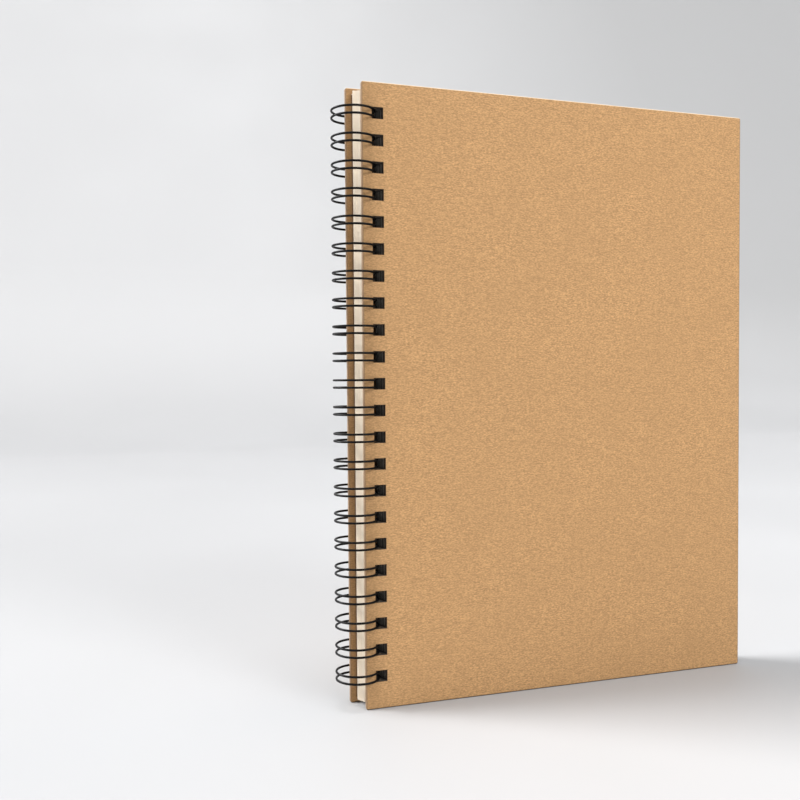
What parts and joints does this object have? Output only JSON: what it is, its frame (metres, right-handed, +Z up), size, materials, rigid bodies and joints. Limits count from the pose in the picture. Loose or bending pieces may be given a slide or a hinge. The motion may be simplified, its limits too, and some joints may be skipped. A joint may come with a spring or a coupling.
{
  "type": "sketchbook",
  "caption": "Upright A4 hardcover sketchbook with kraft covered boards, cream paper and a black twin-loop wire binding.",
  "frame": {"origin": "middle of the object's box on the surface it stands on, at the foot of the covers", "axes": "+X from the spine to the fore-edge, -Y out of the front cover, +Z up the spine"},
  "size_m": [0.2234, 0.0198, 0.297],
  "materials": {
    "kraft_wrap": "matt speckled kraft paper",
    "kraft_lining": "matt kraft paper",
    "greyboard": "raw cut greyboard",
    "cream_paper": "uncoated drawing paper",
    "black_wire": "satin nylon coat"
  },
  "bodies": {
    "wire": {"binding_wire": "black_wire"},
    "rear_pages": {"page_packet_07": "cream_paper", "page_packet_08": "cream_paper", "page_packet_09": "cream_paper", "page_packet_10": "cream_paper", "page_packet_11": "cream_paper", "page_packet_12": "cream_paper"},
    "front_pages": {"page_packet_01": "cream_paper", "page_packet_02": "cream_paper", "page_packet_03": "cream_paper", "page_packet_04": "cream_paper", "page_packet_05": "cream_paper", "page_packet_06": "cream_paper"},
    "front_cover": {"front_cover_wrap": "kraft_wrap", "front_cover_board": "greyboard", "front_cover_lining": "kraft_lining"},
    "back_cover": {"back_cover_wrap": "kraft_wrap", "back_cover_board": "greyboard", "back_cover_lining": "kraft_lining"}
  },
  "joints": [
    {"name": "rear_pages_hinge", "type": "hinge", "parent": "wire", "child": "rear_pages", "pos_m": [-0.10043, -0.00007, 0], "axis": [0, 0, -1], "range_deg": [0, 180]},
    {"name": "front_pages_hinge", "type": "hinge", "parent": "rear_pages", "child": "front_pages", "pos_m": [-0.10043, -0.00007, 0], "axis": [0, 0, -1], "range_deg": [0, 180]},
    {"name": "front_cover_hinge", "type": "hinge", "parent": "front_pages", "child": "front_cover", "pos_m": [-0.10043, -0.00007, 0], "axis": [0, 0, -1], "range_deg": [0, 180]},
    {"name": "back_cover_hinge", "type": "hinge", "parent": "wire", "child": "back_cover", "pos_m": [-0.10203, 0.00069, 0], "axis": [0, 0, 1], "range_deg": [0, 180]}
  ]
}
